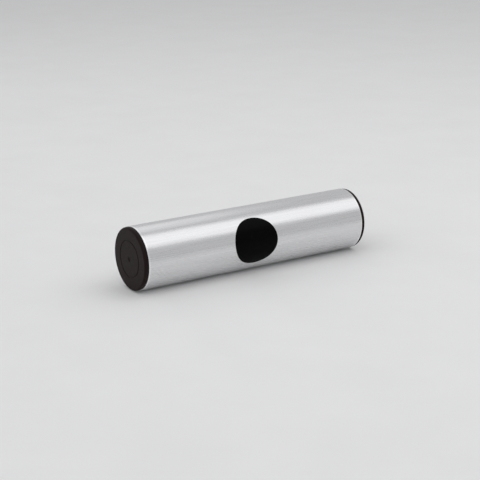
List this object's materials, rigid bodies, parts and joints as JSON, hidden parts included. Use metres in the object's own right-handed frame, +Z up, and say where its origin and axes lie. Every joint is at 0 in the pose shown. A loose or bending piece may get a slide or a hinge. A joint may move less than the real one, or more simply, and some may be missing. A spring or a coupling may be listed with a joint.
{
  "type": "ganza shaker",
  "caption": "Hand shaker made of an aluminium tube with black push-fit plastic end caps, a round film badge on its side and loose steel shot inside.",
  "frame": {"origin": "on the tube's axis at mid-length", "axes": "+X along the tube to the right-hand cap, +Z up as it lies on its side, -Y to the badge and the player"},
  "size_m": [0.2068, 0.0501, 0.05],
  "materials": {
    "tube_aluminium": "brushed satin",
    "cap_plastic": "fine moulded",
    "badge_film": "gloss",
    "shot_steel": "polished"
  },
  "bodies": {
    "tube": {"tube": "tube_aluminium", "badge": "badge_film"},
    "left_cap": {"left_end_cap": "cap_plastic"},
    "right_cap": {"right_end_cap": "cap_plastic"},
    "shot_wall": {"shot_wall_layer": "shot_steel"},
    "shot_middle": {"shot_middle_layer": "shot_steel"},
    "shot_top": {"shot_top_layer": "shot_steel"}
  },
  "joints": [
    {"name": "left_cap_pull", "type": "slide", "parent": "tube", "child": "left_cap", "axis": [-1, 0, 0], "range_m": [0, 0.03]},
    {"name": "right_cap_pull", "type": "slide", "parent": "tube", "child": "right_cap", "axis": [1, 0, 0], "range_m": [0, 0.03]},
    {"name": "shot_slide", "type": "slide", "parent": "tube", "child": "shot_wall", "axis": [1, 0, 0], "range_m": [-0.0533, 0.0533]},
    {"name": "shot_middle_slide", "type": "slide", "parent": "tube", "child": "shot_middle", "axis": [1, 0, 0], "range_m": [-0.0612, 0.0612]},
    {"name": "shot_top_slide", "type": "slide", "parent": "tube", "child": "shot_top", "axis": [1, 0, 0], "range_m": [-0.0745, 0.0745]}
  ],
  "couplings": [
    {"joint": "shot_middle_slide", "follows": "shot_slide", "ratio": 1.148},
    {"joint": "shot_top_slide", "follows": "shot_slide", "ratio": 1.397}
  ]
}
